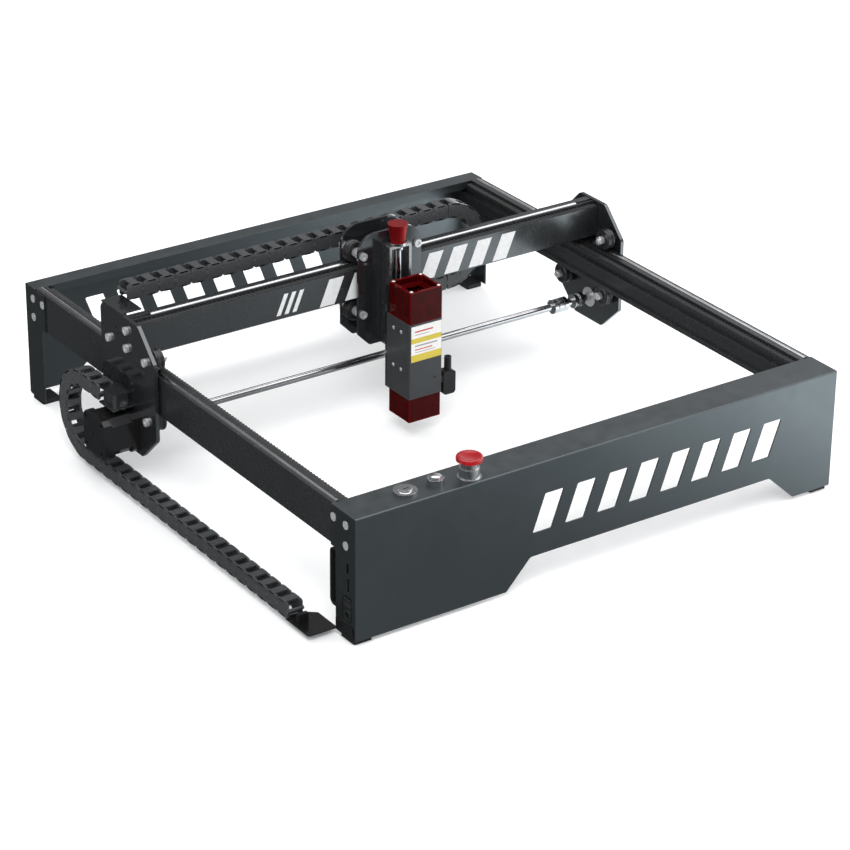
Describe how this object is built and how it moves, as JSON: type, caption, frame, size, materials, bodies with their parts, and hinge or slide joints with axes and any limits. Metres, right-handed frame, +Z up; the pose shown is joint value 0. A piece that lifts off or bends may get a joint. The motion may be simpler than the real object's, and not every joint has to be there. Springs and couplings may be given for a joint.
{
  "type": "desktop laser cutter",
  "caption": "Open-frame desktop laser engraver and cutter: folded sheet frame, gantry beam on side rails, carriage with an adjustable laser head, cable chains and front controls.",
  "frame": {"origin": "middle of the footprint, on the table the feet stand on", "axes": "+Z up, +X to the right along the front cover, +Y from the front cover to the rear cover"},
  "size_m": [0.623, 0.63, 0.22],
  "materials": {
    "sheet_metal": "satin",
    "profile": "anodised satin",
    "steel": "ground",
    "belt": "matte",
    "rubber_feet": "matte",
    "screws": "polished",
    "black_plastic": "fine grain",
    "circuit_board": "black solder mask",
    "chain_plastic": "moulded",
    "chrome_trim": "polished",
    "button_cap": "gloss",
    "red_plastic": "gloss",
    "gantry_metal": "semi-gloss",
    "motor": "satin",
    "red_anodised": "anodised",
    "head_metal": "satin",
    "red_acrylic": "clear red",
    "bare_aluminium": "milled",
    "brass": "turned",
    "wheel_plastic": "turned"
  },
  "bodies": {
    "frame": {"front_cover": "sheet_metal", "rear_cover": "sheet_metal", "end_plates": "sheet_metal", "left_rail": "profile", "right_rail": "profile", "rail_rods": "steel", "y_belts": "belt", "feet": "rubber_feet", "frame_screws": "screws", "control_box": "black_plastic", "mainboard": "circuit_board", "chain_anchor_bracket": "motor", "y_chain_lower_run": "chain_plastic", "control_bezels": "chrome_trim"},
    "power_switch": {"power_rocker": "black_plastic"},
    "key": {"key_barrel": "chrome_trim"},
    "pause": {"pause_button": "button_cap"},
    "stop_stem": {"estop_stem": "chrome_trim"},
    "stop_head": {"estop_head": "red_plastic"},
    "gantry": {"left_gantry_plate": "gantry_metal", "right_gantry_plate": "gantry_metal", "x_beam": "profile", "beam_rods": "steel", "x_belt": "belt", "y_motor": "motor", "gantry_axles": "screws", "x_chain_upper_run": "chain_plastic", "y_chain_upper_run": "chain_plastic"},
    "sync": {"sync_shaft": "steel"},
    "y_chain_loop": {"y_chain_bend": "chain_plastic"},
    "x_chain_loop": {"x_chain_bend": "chain_plastic"},
    "carriage": {"carriage_front_plate": "gantry_metal", "carriage_rear_plate": "gantry_metal", "x_motor": "motor", "carriage_axles": "screws", "x_chain_lower_run": "chain_plastic", "z_guide": "bare_aluminium"},
    "x_drive": {"x_pulley": "steel"},
    "height_screw": {"z_knob": "red_anodised", "lead_screw": "steel"},
    "head": {"head_back_plate": "gantry_metal", "head_shell": "head_metal", "upper_guard": "red_acrylic", "lower_guard": "red_acrylic", "heatsink": "bare_aluminium", "lens_nozzle": "brass", "air_fitting": "black_plastic"},
    "fan": {"cooling_fan": "black_plastic"},
    "left_wheel_top_front_body": {"left_wheel_top_front": "wheel_plastic"},
    "right_wheel_top_front_body": {"right_wheel_top_front": "wheel_plastic"},
    "left_wheel_top_rear_body": {"left_wheel_top_rear": "wheel_plastic"},
    "right_wheel_top_rear_body": {"right_wheel_top_rear": "wheel_plastic"},
    "left_wheel_bottom_front_body": {"left_wheel_bottom_front": "wheel_plastic"},
    "right_wheel_bottom_front_body": {"right_wheel_bottom_front": "wheel_plastic"},
    "left_wheel_bottom_rear_body": {"left_wheel_bottom_rear": "wheel_plastic"},
    "right_wheel_bottom_rear_body": {"right_wheel_bottom_rear": "wheel_plastic"},
    "carriage_wheel_top_left_body": {"carriage_wheel_top_left": "wheel_plastic"},
    "carriage_wheel_top_right_body": {"carriage_wheel_top_right": "wheel_plastic"},
    "carriage_wheel_bottom_left_body": {"carriage_wheel_bottom_left": "wheel_plastic"},
    "carriage_wheel_bottom_right_body": {"carriage_wheel_bottom_right": "wheel_plastic"}
  },
  "joints": [
    {"name": "gantry_y", "type": "slide", "parent": "frame", "child": "gantry", "axis": [0, 1, 0], "range_m": [-0.27, 0.075], "deforming": ["y_chain_lower_run", "y_chain_upper_run"]},
    {"name": "carriage_x", "type": "slide", "parent": "gantry", "child": "carriage", "axis": [1, 0, 0], "range_m": [-0.215, 0.185], "deforming": ["x_chain_upper_run", "x_chain_lower_run"]},
    {"name": "head_z", "type": "slide", "parent": "carriage", "child": "head", "axis": [0, 0, 1], "range_m": [-0.015, 0.025]},
    {"name": "height_knob_turn", "type": "hinge", "parent": "carriage", "child": "height_screw", "pos_m": [0.0325, 0.0615, 0.15], "axis": [0, 0, 1], "range_deg": [-1200, 1200]},
    {"name": "sync_spin", "type": "hinge", "parent": "gantry", "child": "sync", "pos_m": [0.019, 0.09, 0.0605], "axis": [1, 0, 0], "range_deg": [-2600, 2600]},
    {"name": "left_wheel_top_front_spin", "type": "hinge", "parent": "gantry", "child": "left_wheel_top_front_body", "pos_m": [-0.259, 0.054, 0.1436], "axis": [1, 0, 0], "range_deg": [-1600, 1600]},
    {"name": "right_wheel_top_front_spin", "type": "hinge", "parent": "gantry", "child": "right_wheel_top_front_body", "pos_m": [0.297, 0.054, 0.1436], "axis": [1, 0, 0], "range_deg": [-1600, 1600]},
    {"name": "left_wheel_top_rear_spin", "type": "hinge", "parent": "gantry", "child": "left_wheel_top_rear_body", "pos_m": [-0.259, 0.126, 0.1436], "axis": [1, 0, 0], "range_deg": [-1600, 1600]},
    {"name": "right_wheel_top_rear_spin", "type": "hinge", "parent": "gantry", "child": "right_wheel_top_rear_body", "pos_m": [0.297, 0.126, 0.1436], "axis": [1, 0, 0], "range_deg": [-1600, 1600]},
    {"name": "left_wheel_bottom_front_spin", "type": "hinge", "parent": "gantry", "child": "left_wheel_bottom_front_body", "pos_m": [-0.259, 0.054, 0.0784], "axis": [1, 0, 0], "range_deg": [-1600, 1600]},
    {"name": "right_wheel_bottom_front_spin", "type": "hinge", "parent": "gantry", "child": "right_wheel_bottom_front_body", "pos_m": [0.297, 0.054, 0.0784], "axis": [1, 0, 0], "range_deg": [-1600, 1600]},
    {"name": "left_wheel_bottom_rear_spin", "type": "hinge", "parent": "gantry", "child": "left_wheel_bottom_rear_body", "pos_m": [-0.259, 0.126, 0.0784], "axis": [1, 0, 0], "range_deg": [-1600, 1600]},
    {"name": "right_wheel_bottom_rear_spin", "type": "hinge", "parent": "gantry", "child": "right_wheel_bottom_rear_body", "pos_m": [0.297, 0.126, 0.0784], "axis": [1, 0, 0], "range_deg": [-1600, 1600]},
    {"name": "carriage_wheel_top_left_spin", "type": "hinge", "parent": "carriage", "child": "carriage_wheel_top_left_body", "pos_m": [-0.0035, 0.09, 0.1874], "axis": [0, 1, 0], "range_deg": [-1300, 1300]},
    {"name": "carriage_wheel_top_right_spin", "type": "hinge", "parent": "carriage", "child": "carriage_wheel_top_right_body", "pos_m": [0.0635, 0.09, 0.1874], "axis": [0, 1, 0], "range_deg": [-1300, 1300]},
    {"name": "carriage_wheel_bottom_left_spin", "type": "hinge", "parent": "carriage", "child": "carriage_wheel_bottom_left_body", "pos_m": [-0.0035, 0.09, 0.1222], "axis": [0, 1, 0], "range_deg": [-1300, 1300]},
    {"name": "carriage_wheel_bottom_right_spin", "type": "hinge", "parent": "carriage", "child": "carriage_wheel_bottom_right_body", "pos_m": [0.0635, 0.09, 0.1222], "axis": [0, 1, 0], "range_deg": [-1300, 1300]},
    {"name": "x_pulley_spin", "type": "hinge", "parent": "carriage", "child": "x_drive", "pos_m": [0.03, 0.09, 0.109], "axis": [0, 1, 0], "range_deg": [-2000, 2000]},
    {"name": "y_chain_roll", "type": "slide", "parent": "frame", "child": "y_chain_loop", "axis": [0, 1, 0], "range_m": [-0.136, 0.038]},
    {"name": "x_chain_roll", "type": "slide", "parent": "gantry", "child": "x_chain_loop", "axis": [1, 0, 0], "range_m": [-0.109, 0.094]},
    {"name": "fan_spin", "type": "hinge", "parent": "head", "child": "fan", "pos_m": [0.0325, 0.0295, 0.118], "axis": [0, 0, 1], "continuous": true},
    {"name": "stop_press", "type": "slide", "parent": "frame", "child": "stop_stem", "axis": [0, 0, -1], "range_m": [0, 0.005]},
    {"name": "stop_twist", "type": "hinge", "parent": "stop_stem", "child": "stop_head", "pos_m": [-0.1313, -0.301, 0.15], "axis": [0, 0, 1], "range_deg": [0, 45]},
    {"name": "key_turn", "type": "hinge", "parent": "frame", "child": "key", "pos_m": [-0.198, -0.294, 0.132], "axis": [0, 0, 1], "range_deg": [0, 90]},
    {"name": "pause_press", "type": "slide", "parent": "frame", "child": "pause", "axis": [0, 0, -1], "range_m": [0, 0.002]},
    {"name": "power_tip", "type": "hinge", "parent": "frame", "child": "power_switch", "pos_m": [-0.2636, -0.301, 0.04], "axis": [0, 1, 0], "range_deg": [-8, 8]}
  ],
  "couplings": [
    {"joint": "height_knob_turn", "follows": "head_z", "rad_per_m": -785.4},
    {"joint": "sync_spin", "follows": "gantry_y", "rad_per_m": 156.25},
    {"joint": "left_wheel_top_front_spin", "follows": "gantry_y", "rad_per_m": -97.087},
    {"joint": "right_wheel_top_front_spin", "follows": "gantry_y", "rad_per_m": -97.087},
    {"joint": "left_wheel_top_rear_spin", "follows": "gantry_y", "rad_per_m": -97.087},
    {"joint": "right_wheel_top_rear_spin", "follows": "gantry_y", "rad_per_m": -97.087},
    {"joint": "left_wheel_bottom_front_spin", "follows": "gantry_y", "rad_per_m": 97.087},
    {"joint": "right_wheel_bottom_front_spin", "follows": "gantry_y", "rad_per_m": 97.087},
    {"joint": "left_wheel_bottom_rear_spin", "follows": "gantry_y", "rad_per_m": 97.087},
    {"joint": "right_wheel_bottom_rear_spin", "follows": "gantry_y", "rad_per_m": 97.087},
    {"joint": "carriage_wheel_top_left_spin", "follows": "carriage_x", "rad_per_m": 97.087},
    {"joint": "carriage_wheel_top_right_spin", "follows": "carriage_x", "rad_per_m": 97.087},
    {"joint": "carriage_wheel_bottom_left_spin", "follows": "carriage_x", "rad_per_m": -97.087},
    {"joint": "carriage_wheel_bottom_right_spin", "follows": "carriage_x", "rad_per_m": -97.087},
    {"joint": "x_pulley_spin", "follows": "carriage_x", "rad_per_m": -156.25},
    {"joint": "y_chain_roll", "follows": "gantry_y", "ratio": 0.5},
    {"joint": "x_chain_roll", "follows": "carriage_x", "ratio": 0.5}
  ]
}
